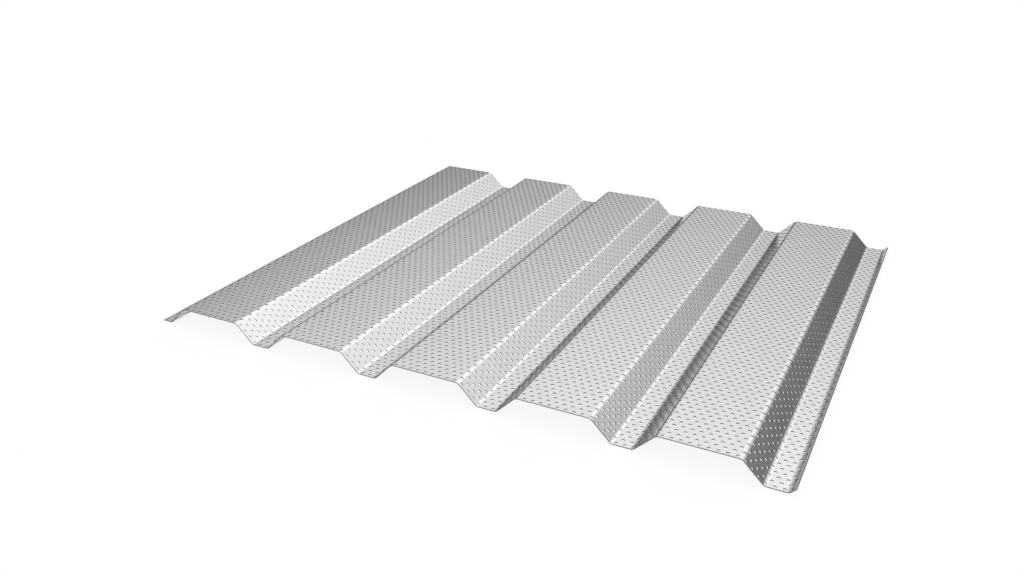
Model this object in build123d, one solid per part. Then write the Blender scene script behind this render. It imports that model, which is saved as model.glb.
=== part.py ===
from build123d import *
import math
import os

# Perforated trapezoidal metal sheet, punched and rolled from one flat blank. Millimetres, +Z up.
# It lies flat: X runs across the ribs, Y runs along them, the origin is the footprint's centre.

# Stock
sheet_thickness = 1.5
sheet_length = 848.0

# Rolled section, measured between the corners of the sheet's mid-line
rib_count = 5
rib_pitch = 200.0
crown_width = 110.0
valley_width = 30.0
rib_rise = 30.0
inside_bend_radius = 8.0
left_lap_width = 18.0
right_lip_rise = 8.0

# Staggered lattice of round holes, set out on the flat blank before it is rolled. Even rows have
# the even half columns, counted from the middle of the first crown, and odd rows the odd ones.
hole_diameter = 5.0
half_columns_per_rib = 37
row_spacing = 10.0
end_margin = 4.0

# Plain grid of the holes that are cut here: by every crown and valley, in every fourteenth row
grid_columns_per_rib = 2
rows_per_grid_row = 14

web_run = (rib_pitch - crown_width - valley_width) / 2
web_width = math.hypot(web_run, rib_rise)
lip_run = right_lip_rise * web_run / rib_rise
bend_turn = math.atan2(rib_rise, web_run)
bend_radius = inside_bend_radius + sheet_thickness / 2

# Length that each bend saves against its two straight runs, and so the blank that one rib takes
bend_saving = bend_radius * (2 * math.tan(bend_turn / 2) - bend_turn)
rib_on_blank = crown_width + valley_width + 2 * web_width - 4 * bend_saving
first_crown_middle = left_lap_width + web_width + crown_width / 2 - 2 * bend_saving
half_column = rib_on_blank / half_columns_per_rib

# The grid starts by the lap, one column before the first crown, and ends by the last valley
first_grid_column = -1
last_grid_column = rib_count * grid_columns_per_rib - 1
last_row = int((sheet_length - 2 * end_margin) / row_spacing)
punch_length = 4 * sheet_thickness


def section_corners():
    """Mid-line corners from the left lap, over every rib, to the lip on the right."""
    corners = [(-web_run - left_lap_width, 0), (-web_run, 0)]
    for rib in range(rib_count):
        crown_start = rib * rib_pitch
        crown_end = crown_start + crown_width
        next_foot = crown_end + web_run
        corners += [(crown_start, rib_rise), (crown_end, rib_rise)]
        corners += [(next_foot, 0), (next_foot + valley_width, 0)]
    last_foot = corners[-1][0]
    corners.append((last_foot + lip_run, right_lip_rise))
    return corners


def mid_line():
    """The rolled mid-line in the XZ plane, with the same bend at every corner."""
    points = [(x, 0, z) for x, z in section_corners()]
    return FilletPolyline(*points, radius=bend_radius).wire()


def rolled_sheet(line):
    """The unpunched sheet: the mid-line thickened to both sides and drawn along the ribs."""
    underside = line.offset_2d(sheet_thickness / 2, side=Side.RIGHT, closed=False)
    section = Face(underside.offset_2d(sheet_thickness, side=Side.LEFT))
    return extrude(section, amount=sheet_length, dir=(0, 1, 0))


def grid_places():
    """Places across the blank of the even half columns that stand nearest to the grid's columns."""
    half_columns_per_grid_column = half_columns_per_rib / grid_columns_per_rib
    places = []
    for column in range(first_grid_column, last_grid_column + 1):
        half_columns = 2 * round(column * half_columns_per_grid_column / 2)
        places.append(first_crown_middle + half_columns * half_column)
    return places


def punch_at(line, place, row):
    """A punch square to the sheet, at this place across the blank and in this row."""
    seat = line.position_at(place, position_mode=PositionMode.LENGTH)
    along = line.tangent_at(place, position_mode=PositionMode.LENGTH)
    square = along.cross(Vector(0, 1, 0))
    centre = seat + Vector(0, end_margin + row * row_spacing, 0)
    return Plane(origin=centre, z_dir=square) * Cylinder(hole_diameter / 2, punch_length)


def perforated_sheet():
    """The rolled sheet with a plain grid of its holes, which also take the fixings at both ends.

    The holes between them follow the same lattice over the flats and the bends alike.
    """
    line = mid_line()
    rows = range(0, last_row + 1, rows_per_grid_row)
    punches = [punch_at(line, place, row) for row in rows for place in grid_places()]
    sheet = rolled_sheet(line) - punches
    size = sheet.bounding_box()
    return Pos(-(size.min.X + size.max.X) / 2, -sheet_length / 2, -size.min.Z) * sheet


os.makedirs("parts", exist_ok=True)
export_step(perforated_sheet().solids()[0], "parts/perforated_sheet.step")
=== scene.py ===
import math

import bpy
import numpy as np
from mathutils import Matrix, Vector


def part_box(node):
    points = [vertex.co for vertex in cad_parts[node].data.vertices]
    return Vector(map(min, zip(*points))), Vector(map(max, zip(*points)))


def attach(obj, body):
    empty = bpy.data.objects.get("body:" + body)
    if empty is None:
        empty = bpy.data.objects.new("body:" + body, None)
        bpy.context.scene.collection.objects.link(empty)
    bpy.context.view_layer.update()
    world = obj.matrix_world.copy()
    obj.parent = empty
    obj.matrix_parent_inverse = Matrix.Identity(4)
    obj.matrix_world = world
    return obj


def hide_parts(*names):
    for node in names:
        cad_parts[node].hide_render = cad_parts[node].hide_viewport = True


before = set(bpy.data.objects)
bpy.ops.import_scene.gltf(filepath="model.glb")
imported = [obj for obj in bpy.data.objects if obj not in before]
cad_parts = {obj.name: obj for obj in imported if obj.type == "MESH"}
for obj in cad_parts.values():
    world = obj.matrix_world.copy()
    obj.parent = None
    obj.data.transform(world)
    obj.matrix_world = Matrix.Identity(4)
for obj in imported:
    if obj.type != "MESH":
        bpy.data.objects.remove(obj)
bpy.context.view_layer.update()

# Perforated trapezoidal sheet, in metres. It lies flat, ribs along Y.
SHEET = "perforated_sheet"
LOW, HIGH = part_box(SHEET)
SHEET_LENGTH = HIGH.y - LOW.y

# Rolled section between the corners of the mid-line, as in the part's source
THICKNESS = 0.0015
RIB_COUNT = 5
RIB_PITCH = 0.200
CROWN_WIDTH = 0.110
VALLEY_WIDTH = 0.030
RIB_RISE = 0.030
INSIDE_BEND_RADIUS = 0.008
LEFT_LAP_WIDTH = 0.018
RIGHT_LIP_RISE = 0.008

# Staggered lattice of holes on the flat blank
HOLE_RADIUS = 0.0025
HALF_COLUMNS_PER_RIB = 37
ROW_SPACING = 0.010
END_MARGIN = 0.004
SIDE_MARGIN = 0.004

# How finely the holes and the bends are drawn, and how near to its circle a rim point lies
RIM_POINTS = 14
BEND_STEPS = 4
RIM_REACH = 1.01

WEB_RUN = (RIB_PITCH - CROWN_WIDTH - VALLEY_WIDTH) / 2
WEB_WIDTH = math.hypot(WEB_RUN, RIB_RISE)
LIP_WIDTH = RIGHT_LIP_RISE * WEB_WIDTH / RIB_RISE
BEND_TURN = math.atan2(RIB_RISE, WEB_RUN)
BEND_RADIUS = INSIDE_BEND_RADIUS + THICKNESS / 2
BEND_LENGTH = BEND_RADIUS * BEND_TURN
TANGENT = BEND_RADIUS * math.tan(BEND_TURN / 2)

BEND_SAVING = 2 * TANGENT - BEND_LENGTH
RIB_ON_BLANK = CROWN_WIDTH + VALLEY_WIDTH + 2 * WEB_WIDTH - 4 * BEND_SAVING
FIRST_CROWN_MIDDLE = LEFT_LAP_WIDTH + WEB_WIDTH + CROWN_WIDTH / 2 - 2 * BEND_SAVING
HALF_COLUMN = RIB_ON_BLANK / HALF_COLUMNS_PER_RIB
ROW_COUNT = int(round((SHEET_LENGTH - 2 * END_MARGIN) / ROW_SPACING)) + 1


# The rolled section

def section_runs():
    """Length and turn of every flat and bend, from the left lap to the lip on the right."""
    up, down = (BEND_LENGTH, BEND_TURN), (BEND_LENGTH, -BEND_TURN)
    web = (WEB_WIDTH - 2 * TANGENT, 0)
    crown = (CROWN_WIDTH - 2 * TANGENT, 0)
    valley = (VALLEY_WIDTH - 2 * TANGENT, 0)
    rib = [web, down, crown, down, web, up, valley, up]
    return [(LEFT_LAP_WIDTH - TANGENT, 0), up] + rib * RIB_COUNT + [(LIP_WIDTH - TANGENT, 0)]


def walk_section():
    """Where each run starts: its place on the blank, its x, z and slope, and how fast it turns."""
    starts = []
    place, x, z, slope = 0.0, LOW.x, THICKNESS / 2, 0.0
    for length, turn in section_runs():
        curl = turn / length
        starts.append((place, x, z, slope, curl))
        if turn:
            x += (math.sin(slope + turn) - math.sin(slope)) / curl
            z -= (math.cos(slope + turn) - math.cos(slope)) / curl
        else:
            x += length * math.cos(slope)
            z += length * math.sin(slope)
        place += length
        slope += turn
    return np.array(starts), place


RUNS, BLANK_WIDTH = walk_section()


def roll(place):
    """x, z and slope of the rolled mid-line at places across the flat blank."""
    run = np.clip(np.searchsorted(RUNS[:, 0], place, side="right") - 1, 0, len(RUNS) - 1)
    start, x, z, slope, curl = RUNS[run].T
    along = place - start
    end = slope + curl * along
    flat = curl == 0
    bend = np.where(flat, 1.0, curl)
    run_x = np.where(flat, along * np.cos(slope), (np.sin(end) - np.sin(slope)) / bend)
    run_z = np.where(flat, along * np.sin(slope), (np.cos(slope) - np.cos(end)) / bend)
    return x + run_x, z + run_z, end


# The flat blank with its holes, one strip of it for each rib

def hole_steps(row, left, right):
    """Half-column steps of one row's holes between two cuts across the blank."""
    low = max(left, SIDE_MARGIN) - FIRST_CROWN_MIDDLE
    high = min(right, BLANK_WIDTH - SIDE_MARGIN) - FIRST_CROWN_MIDDLE
    steps = range(math.ceil(low / HALF_COLUMN), math.floor(high / HALF_COLUMN) + 1)
    return [step for step in steps if (step + row) % 2 == 0]


def hole_place(step):
    return FIRST_CROWN_MIDDLE + step * HALF_COLUMN


def cell_walls(row, left, right):
    """Places that divide a row into one cell for each hole."""
    places = [hole_place(step) for step in hole_steps(row, left, right)]
    return [left] + [(a + b) / 2 for a, b in zip(places, places[1:])] + [right]


def row_line(row):
    """Where the cells of this row start along the sheet."""
    if row == 0:
        return 0.0
    if row == ROW_COUNT:
        return SHEET_LENGTH
    return END_MARGIN + (row - 0.5) * ROW_SPACING


def cell_outline(left, right, near, far, near_walls, far_walls):
    """Corners of one cell, with the places where the next rows' walls meet its sides."""
    near_side = [left] + [u for u in near_walls if left < u < right] + [right]
    far_side = [left] + [u for u in far_walls if left < u < right] + [right]
    return [(u, near) for u in near_side] + [(u, far) for u in reversed(far_side)]


def hole_rim(centre):
    """Points round one hole."""
    turns = [2 * math.pi * (n + 0.5) / RIM_POINTS - math.pi for n in range(RIM_POINTS)]
    u, v = centre
    return [(u + HOLE_RADIUS * math.cos(a), v + HOLE_RADIUS * math.sin(a)) for a in turns]


def ring_between(outline, rim, centre):
    """Triangles of the metal between a cell's outline and its hole, as numbers of outline + rim."""
    def by_angle(points, first_number):
        turned = sorted((math.atan2(v - centre[1], u - centre[0]), number + first_number)
                        for number, (u, v) in enumerate(points))
        return turned + [(turned[0][0] + 2 * math.pi, turned[0][1])]

    outer, inner = by_angle(outline, 0), by_angle(rim, len(outline))
    triangles = []
    i = j = 0
    while i < len(outer) - 1 or j < len(inner) - 1:
        outer_next = outer[i + 1][0] if i < len(outer) - 1 else math.inf
        inner_next = inner[j + 1][0] if j < len(inner) - 1 else math.inf
        if outer_next <= inner_next:
            triangles.append((outer[i][1], outer[i + 1][1], inner[j][1]))
            i += 1
        else:
            triangles.append((outer[i][1], inner[j + 1][1], inner[j][1]))
            j += 1
    return triangles


def flat_strip(left, right):
    """Points (across, along) and triangles of the blank between two cuts."""
    numbers, points, triangles = {}, [], []

    def number(point):
        key = (round(point[0], 7), round(point[1], 7))
        if key not in numbers:
            numbers[key] = len(points)
            points.append(point)
        return numbers[key]

    walls = [cell_walls(row, left, right) for row in range(ROW_COUNT)]
    for row in range(ROW_COUNT):
        near_walls = walls[row - 1] if row > 0 else []
        far_walls = walls[row + 1] if row < ROW_COUNT - 1 else []
        along = END_MARGIN + row * ROW_SPACING
        for n, step in enumerate(hole_steps(row, left, right)):
            cell = walls[row][n], walls[row][n + 1], row_line(row), row_line(row + 1)
            outline = cell_outline(*cell, near_walls, far_walls)
            centre = hole_place(step), along
            rim = hole_rim(centre)
            ids = [number(point) for point in outline + rim]
            triangles += [(ids[a], ids[b], ids[c]) for a, b, c in ring_between(outline, rim, centre)]
    return np.array(points), np.array(triangles)


def split_along(points, triangles, place):
    """The same strip with an edge all along one place across the blank, so that it can bend there."""
    side = np.sign(np.round(points[:, 0] - place, 8)).astype(int)
    corner_side = side[triangles]
    crossed = (corner_side.min(1) < 0) & (corner_side.max(1) > 0)
    whole, cut = triangles[~crossed], triangles[crossed]
    cut_side = side[cut]
    lone_sign = np.where((cut_side == 0).any(1), 0, -np.sign(cut_side.sum(1)))
    lone = (cut_side == lone_sign[:, None]).argmax(1)
    a, b, c = (np.take_along_axis(cut, (lone[:, None] + turn) % 3, 1)[:, 0] for turn in range(3))
    touching = side[a] == 0

    pairs = np.concatenate([np.stack([a, b], 1)[~touching], np.stack([a, c], 1)[~touching],
                            np.stack([b, c], 1)[touching]])
    edges, which = np.unique(np.sort(pairs, 1), axis=0, return_inverse=True)
    which = which.reshape(-1)
    start, end = points[edges[:, 0]], points[edges[:, 1]]
    share = (place - start[:, 0]) / (end[:, 0] - start[:, 0])
    middle = start + (end - start) * share[:, None]
    middle[:, 0] = place
    made = len(points) + which
    lone_count = int((~touching).sum())
    ab, ac, bc = made[:lone_count], made[lone_count:2 * lone_count], made[2 * lone_count:]

    an, bn, cn = a[~touching], b[~touching], c[~touching]
    at, bt, ct = a[touching], b[touching], c[touching]
    new = [(an, ab, ac), (ab, bn, cn), (ab, cn, ac), (at, bt, bc), (at, bc, ct)]
    new = [np.stack(corners, 1) for corners in new]
    return np.concatenate([points, middle]), np.concatenate([whole] + new)


def bend_places(left, right):
    """Every place between two cuts where the strip needs an edge to bend."""
    places = []
    for start, x, z, slope, curl in RUNS:
        if curl:
            places += [start + BEND_LENGTH * n / BEND_STEPS for n in range(BEND_STEPS + 1)]
    return [place for place in places if left < place < right]


# From a flat strip to a rolled piece with its thickness

def open_edges(triangles):
    """Edges of the strip that only one triangle uses, in that triangle's direction."""
    edges = np.concatenate([triangles[:, [0, 1]], triangles[:, [1, 2]], triangles[:, [2, 0]]])
    _, first, count = np.unique(np.sort(edges, 1), axis=0, return_index=True, return_counts=True)
    return edges[first[count == 1]]


def hole_directions(points, ends):
    """For edge ends on a rim, the way into the hole; for the rest, the way out of the strip."""
    middle = points[ends].mean(1)
    row = np.round((middle[:, 1] - END_MARGIN) / ROW_SPACING)
    half_steps = (middle[:, 0] - FIRST_CROWN_MIDDLE) / HALF_COLUMN
    step = 2 * np.round((half_steps - row % 2) / 2) + row % 2
    centre = np.stack([FIRST_CROWN_MIDDLE + step * HALF_COLUMN, END_MARGIN + row * ROW_SPACING], 1)
    on_rim = np.hypot(*(middle[:, :2] - centre).T) < HOLE_RADIUS * RIM_REACH
    along = points[ends[:, 1], :2] - points[ends[:, 0], :2]
    outwards = np.stack([along[:, 1], -along[:, 0]], 1)
    ways = []
    for end in range(2):
        inwards = centre - points[ends[:, end], :2]
        way = np.where(on_rim[:, None], inwards, outwards)
        ways.append(way / np.linalg.norm(way, axis=1)[:, None])
    return ways, on_rim


def in_section(points, across, along, up):
    """Directions given on the flat blank, turned to where the rolled sheet has them."""
    _, _, slope = roll(points[:, 0])
    x = across * np.cos(slope) - up * np.sin(slope)
    z = across * np.sin(slope) + up * np.cos(slope)
    return np.stack([x, along, z], 1)


FACE, PUNCHED, SHEARED = range(3)


def rolled_piece(name, left, right, materials):
    """One rib's strip of the sheet: both faces, the walls of its holes and its sheared edges."""
    points, triangles = flat_strip(left, right)
    for place in bend_places(left, right):
        points, triangles = split_along(points, triangles, place)
    count = len(points)
    x, z, slope = roll(points[:, 0])
    middle = np.stack([x, LOW.y + points[:, 1], z], 1)
    square = in_section(points, 0, np.zeros(count), np.ones(count))
    top, bottom = middle + square * THICKNESS / 2, middle - square * THICKNESS / 2

    ends = open_edges(triangles)
    ways, on_rim = hole_directions(points, ends)
    walls = np.stack([ends[:, 0] + count, ends[:, 1] + count, ends[:, 1], ends[:, 0]], 1)
    wall_ways = [in_section(points[ends[:, end]], *ways[end].T, 0) for end in range(2)]

    mesh = bpy.data.meshes.new(name)
    under = triangles[:, ::-1] + count
    faces = triangles.tolist() + under.tolist() + walls.tolist()
    mesh.from_pydata(np.concatenate([top, bottom]).tolist(), [], faces)
    slots = np.full(len(triangles) * 2 + len(walls), FACE)
    slots[2 * len(triangles):] = np.where(on_rim, PUNCHED, SHEARED)
    mesh.polygons.foreach_set("material_index", slots.astype(np.int32))
    for material in materials:
        mesh.materials.append(material)
    mesh.shade_smooth()
    over, below = square[triangles.reshape(-1)], -square[triangles[:, ::-1].reshape(-1)]
    sides = np.stack([wall_ways[0], wall_ways[1], wall_ways[1], wall_ways[0]], 1).reshape(-1, 3)
    mesh.normals_split_custom_set(np.concatenate([over, below, sides]).tolist())
    piece = bpy.data.objects.new(name, mesh)
    bpy.context.scene.collection.objects.link(piece)
    return piece


# Finishes

def node(tree, kind, settings=None, **values):
    """A new node with its properties and the plain values of its named inputs."""
    made = tree.nodes.new(kind)
    for key, value in (settings or {}).items():
        setattr(made, key, value)
    for key, value in values.items():
        made.inputs[key.replace("_", " ")].default_value = value
    return made


def effect(name, inputs, outputs):
    """An empty node group with these sockets, each given as name: (type, value)."""
    tree = bpy.data.node_groups.new(name, "ShaderNodeTree")
    for label, (kind, value) in inputs.items():
        socket = tree.interface.new_socket(label, in_out="INPUT", socket_type=f"NodeSocket{kind}")
        if value is not None:
            socket.default_value = value
    for label, kind in outputs.items():
        tree.interface.new_socket(label, in_out="OUTPUT", socket_type=f"NodeSocket{kind}")
    return tree, tree.nodes.new("NodeGroupInput"), tree.nodes.new("NodeGroupOutput")


def noise_value(tree, vector, scale, detail):
    """Noise from 0 to 1 at this scale, read at a vector."""
    noise = node(tree, "ShaderNodeTexNoise", Detail=detail)
    tree.links.new(vector, noise.inputs["Vector"])
    if isinstance(scale, float):
        noise.inputs["Scale"].default_value = scale
    else:
        tree.links.new(scale, noise.inputs["Scale"])
    return noise.outputs["Fac"]


def rolling_grain():
    """Fine lines along the ribs, as the rolls leave them."""
    inputs = {"Vector": ("Vector", None), "Lines per metre": ("Float", 1500.0), "Length": ("Float", 0.02)}
    tree, given, result = effect("rolling_grain", inputs, {"Grain": "Float"})
    stretch = node(tree, "ShaderNodeCombineXYZ", X=1.0, Z=1.0)
    tree.links.new(given.outputs["Length"], stretch.inputs["Y"])
    scaled = node(tree, "ShaderNodeVectorMath", {"operation": "MULTIPLY"})
    tree.links.new(given.outputs["Vector"], scaled.inputs[0])
    tree.links.new(stretch.outputs[0], scaled.inputs[1])
    grain = noise_value(tree, scaled.outputs[0], given.outputs["Lines per metre"], 2.0)
    tree.links.new(grain, result.inputs["Grain"])
    return tree


# Noise that counts as the darkest and the lightest patch
PATCH_RANGE = (0.3, 0.7)


def zinc_mottle():
    """Small cloudy patches of a hot-dipped coat, between two tones."""
    inputs = {
        "Vector": ("Vector", None),
        "Patches per metre": ("Float", 400.0),
        "Dark tone": ("Color", (0.7, 0.7, 0.7, 1)),
        "Light tone": ("Color", (0.85, 0.85, 0.85, 1)),
    }
    tree, given, result = effect("zinc_mottle", inputs, {"Colour": "Color", "Patches": "Float"})
    patches = noise_value(tree, given.outputs["Vector"], given.outputs["Patches per metre"], 3.0)
    spread = node(tree, "ShaderNodeMapRange", From_Min=PATCH_RANGE[0], From_Max=PATCH_RANGE[1])
    tree.links.new(patches, spread.inputs["Value"])
    tones = node(tree, "ShaderNodeMix", {"data_type": "RGBA"})
    tree.links.new(spread.outputs["Result"], tones.inputs["Factor"])
    tree.links.new(given.outputs["Dark tone"], tones.inputs[6])
    tree.links.new(given.outputs["Light tone"], tones.inputs[7])
    tree.links.new(tones.outputs[2], result.inputs["Colour"])
    tree.links.new(spread.outputs["Result"], result.inputs["Patches"])
    return tree


# What wanders the gloss: patches, grain, and broad marks of handling so many to the metre
PATCH_WEIGHT, GRAIN_WEIGHT, MARK_WEIGHT = 0.6, 0.6, 1.2
MARKS_PER_METRE = 9.0


def satin_roughness():
    """Roughness that wanders with the mottle, the grain and the marks of handling."""
    inputs = {
        "Vector": ("Vector", None),
        "Patches": ("Float", 0.5),
        "Grain": ("Float", 0.5),
        "Base": ("Float", 0.3),
        "Spread": ("Float", 0.08),
    }
    tree, given, result = effect("satin_roughness", inputs, {"Roughness": "Float"})
    marks = noise_value(tree, given.outputs["Vector"], MARKS_PER_METRE, 2.0)
    total = given.outputs["Base"]
    sources = given.outputs["Patches"], given.outputs["Grain"], marks
    for source, weight in zip(sources, (PATCH_WEIGHT, GRAIN_WEIGHT, MARK_WEIGHT)):
        centred = node(tree, "ShaderNodeMath", {"operation": "SUBTRACT"})
        centred.inputs[1].default_value = 0.5
        tree.links.new(source, centred.inputs[0])
        weighed = node(tree, "ShaderNodeMath", {"operation": "MULTIPLY"})
        weighed.inputs[1].default_value = weight
        tree.links.new(centred.outputs[0], weighed.inputs[0])
        spread = node(tree, "ShaderNodeMath", {"operation": "MULTIPLY_ADD"})
        tree.links.new(weighed.outputs[0], spread.inputs[0])
        tree.links.new(given.outputs["Spread"], spread.inputs[1])
        tree.links.new(total, spread.inputs[2])
        total = spread.outputs[0]
    tree.links.new(total, result.inputs["Roughness"])
    return tree


GRAIN, MOTTLE, SATIN = rolling_grain(), zinc_mottle(), satin_roughness()

# A dull zinc coat mirrors less than clean metal does where it is seen edge on
GRAZING_TINT = (0.7, 0.7, 0.7, 1)
GRAIN_DEPTH = 0.0001


def placed(tree, group, **values):
    """A group placed in a material with its own values."""
    made = node(tree, "ShaderNodeGroup", {"node_tree": group})
    for key, value in values.items():
        made.inputs[key.replace("_", " ")].default_value = value
    return made


def metal_finish(name, dark, light, roughness, spread, bump):
    """A bare metal finish: mottled tone, fine grain and uneven gloss."""
    material = bpy.data.materials.new(name)
    material.use_nodes = True
    tree = material.node_tree
    shader = tree.nodes["Principled BSDF"]
    shader.inputs["Metallic"].default_value = 1.0
    shader.inputs["Specular Tint"].default_value = GRAZING_TINT
    where = tree.nodes.new("ShaderNodeTexCoord").outputs["Object"]
    mottle = placed(tree, MOTTLE, Dark_tone=(*dark, 1), Light_tone=(*light, 1))
    grain = placed(tree, GRAIN)
    satin = placed(tree, SATIN, Base=roughness, Spread=spread)
    for group in (mottle, grain, satin):
        tree.links.new(where, group.inputs["Vector"])
    tree.links.new(mottle.outputs["Patches"], satin.inputs["Patches"])
    tree.links.new(grain.outputs["Grain"], satin.inputs["Grain"])
    tree.links.new(mottle.outputs["Colour"], shader.inputs["Base Color"])
    tree.links.new(satin.outputs["Roughness"], shader.inputs["Roughness"])
    relief = node(tree, "ShaderNodeBump", Strength=bump, Distance=GRAIN_DEPTH)
    tree.links.new(grain.outputs["Grain"], relief.inputs["Height"])
    tree.links.new(relief.outputs["Normal"], shader.inputs["Normal"])
    return material


face_finish = metal_finish("zinc_face", (0.70, 0.70, 0.705), (0.74, 0.74, 0.745), 0.18, 0.04, 0.1)
# Hole walls: dark partly as the bare steel of the punch cut and partly as painted shade inside the holes,
# where the white floor the metal mirrors would otherwise light them
punched_shaded_finish = metal_finish("punched_wall_painted_shade", (0.12, 0.12, 0.12), (0.20, 0.20, 0.20), 0.40, 0.10, 0.3)
sheared_finish = metal_finish("sheared_edge", (0.16, 0.16, 0.16), (0.26, 0.26, 0.26), 0.40, 0.10, 0.3)


# The sheet

def rib_cuts():
    """Cuts down the middle of each valley, with the sheet's own two sides."""
    middles = [FIRST_CROWN_MIDDLE + (rib + 0.5) * RIB_ON_BLANK for rib in range(RIB_COUNT)]
    return [0.0] + middles + [BLANK_WIDTH]


cuts = rib_cuts()
finishes = (face_finish, punched_shaded_finish, sheared_finish)
names = [f"rib_{rib + 1}" for rib in range(RIB_COUNT)] + ["right_lip"]
for name, left, right in zip(names, cuts, cuts[1:]):
    strip = rolled_piece(name, left, right, finishes)
    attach(strip, "root")
    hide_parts(SHEET)


# Floor, light and camera

FLOOR_SIZE = 40.0
FLOOR_DROP = 0.0002
FLOOR_PAINT = (0.95, 0.95, 0.95, 1)
FLOOR_ROUGHNESS = 0.9

# How much of the floor is plain white to the rays that show a background; the rest keeps the shadow
WHITE_SHARE = 0.85


def background_rays(tree):
    """1 for the rays that show a background: to the camera, in glossy metal and through glass."""
    path = tree.nodes.new("ShaderNodeLightPath")
    shown = path.outputs["Is Camera Ray"]
    for ray in ("Is Glossy Ray", "Is Transmission Ray"):
        either = node(tree, "ShaderNodeMath", {"operation": "MAXIMUM"})
        tree.links.new(shown, either.inputs[0])
        tree.links.new(path.outputs[ray], either.inputs[1])
        shown = either.outputs[0]
    return shown


def pale_floor():
    """A plain floor just under the sheet: white to the camera and in the metal, with a soft shadow."""
    mesh = bpy.data.meshes.new("floor")
    half = FLOOR_SIZE / 2
    corners = [(-half, -half), (half, -half), (half, half), (-half, half)]
    mesh.from_pydata([(x, y, -FLOOR_DROP) for x, y in corners], [], [(0, 1, 2, 3)])
    material = bpy.data.materials.new("pale_floor")
    material.use_nodes = True
    tree = material.node_tree
    paint = tree.nodes["Principled BSDF"]
    paint.inputs["Base Color"].default_value = FLOOR_PAINT
    paint.inputs["Roughness"].default_value = FLOOR_ROUGHNESS
    paint.inputs["Specular IOR Level"].default_value = 0.0
    white = node(tree, "ShaderNodeEmission", Strength=1.0)
    share = node(tree, "ShaderNodeMath", {"operation": "MULTIPLY"})
    share.inputs[1].default_value = WHITE_SHARE
    tree.links.new(background_rays(tree), share.inputs[0])
    blend = tree.nodes.new("ShaderNodeMixShader")
    tree.links.new(share.outputs[0], blend.inputs[0])
    tree.links.new(paint.outputs[0], blend.inputs[1])
    tree.links.new(white.outputs[0], blend.inputs[2])
    tree.links.new(blend.outputs[0], tree.nodes["Material Output"].inputs["Surface"])
    mesh.materials.append(material)
    floor = bpy.data.objects.new("floor", mesh)
    bpy.context.scene.collection.objects.link(floor)


# The studio all round: a light ceiling that dims towards the horizon and to the sides, with a brighter
# strip overhead, the same for every ray. A stop is the sine of the height and a tone, or the lean to
# the side and a tone.
STUDIO_PEAK = 1.30
TONES_BY_HEIGHT = [(0.0, 0.22), (0.12, 0.26), (0.19, 0.47), (0.27, 0.53), (0.36, 0.69), (0.52, 0.82),
                   (0.66, 1.0), (1.0, 0.7)]
TONES_BY_LEAN = [(-2.2, 0.38), (-1.62, 0.54), (-1.45, 0.71), (-1.35, 1.02), (-1.22, 0.86), (-0.6, 1.0),
                 (-0.2, 0.96), (-0.05, 1.22), (0.35, 1.22), (0.6, 1.0), (1.9, 0.95), (4.2, 0.42)]
LOWEST_SINE = 0.02


def tone_ramp(tree, source, stops):
    """A tone read off these stops, whose places may run over any range."""
    low, high = stops[0][0], stops[-1][0]
    spread = node(tree, "ShaderNodeMapRange", From_Min=low, From_Max=high)
    tree.links.new(source, spread.inputs["Value"])
    ramp = tree.nodes.new("ShaderNodeValToRGB")
    elements = ramp.color_ramp.elements
    for place, tone in stops[1:-1]:
        elements.new((place - low) / (high - low))
    for element, (place, tone) in zip(elements, stops):
        element.color = (tone, tone, tone, 1)
    tree.links.new(spread.outputs["Result"], ramp.inputs[0])
    return ramp.outputs["Color"]


def studio_world():
    """The light ceiling that lights the sheet and that the metal shows."""
    world = bpy.data.worlds.new("studio")
    bpy.context.scene.world = world
    world.use_nodes = True
    tree = world.node_tree
    tree.nodes.clear()
    ways = tree.nodes.new("ShaderNodeTexCoord")
    parts = tree.nodes.new("ShaderNodeSeparateXYZ")
    tree.links.new(ways.outputs["Generated"], parts.inputs[0])
    height = node(tree, "ShaderNodeMath", {"operation": "MAXIMUM"})
    height.inputs[1].default_value = LOWEST_SINE
    tree.links.new(parts.outputs["Z"], height.inputs[0])
    lean = node(tree, "ShaderNodeMath", {"operation": "DIVIDE"})
    tree.links.new(parts.outputs["X"], lean.inputs[0])
    tree.links.new(height.outputs[0], lean.inputs[1])
    tones = node(tree, "ShaderNodeMix", {"data_type": "RGBA", "blend_type": "MULTIPLY"})
    tones.inputs["Factor"].default_value = 1.0
    tree.links.new(tone_ramp(tree, height.outputs[0], TONES_BY_HEIGHT), tones.inputs[6])
    tree.links.new(tone_ramp(tree, lean.outputs[0], TONES_BY_LEAN), tones.inputs[7])
    studio = node(tree, "ShaderNodeBackground", Strength=STUDIO_PEAK)
    tree.links.new(tones.outputs[2], studio.inputs["Color"])
    output = tree.nodes.new("ShaderNodeOutputWorld")
    tree.links.new(studio.outputs[0], output.inputs["Surface"])


CAMERA_PLACE = Vector((0.62422, -1.39793, 0.70485))
CAMERA_AIM = Vector((-0.04298, -0.08281, 0.01600))
LENS_MM = 33.062
SENSOR_MM = 36.0


def photo_camera():
    """The camera where the sheet's corners fall as they do in the photograph."""
    data = bpy.data.cameras.new("camera")
    data.lens = LENS_MM
    data.sensor_width = SENSOR_MM
    camera = bpy.data.objects.new("camera", data)
    camera.location = CAMERA_PLACE
    camera.rotation_euler = (CAMERA_AIM - CAMERA_PLACE).to_track_quat("-Z", "Y").to_euler()
    bpy.context.scene.collection.objects.link(camera)
    bpy.context.scene.camera = camera


pale_floor()
studio_world()
photo_camera()
bpy.context.scene.view_settings.view_transform = "Standard"
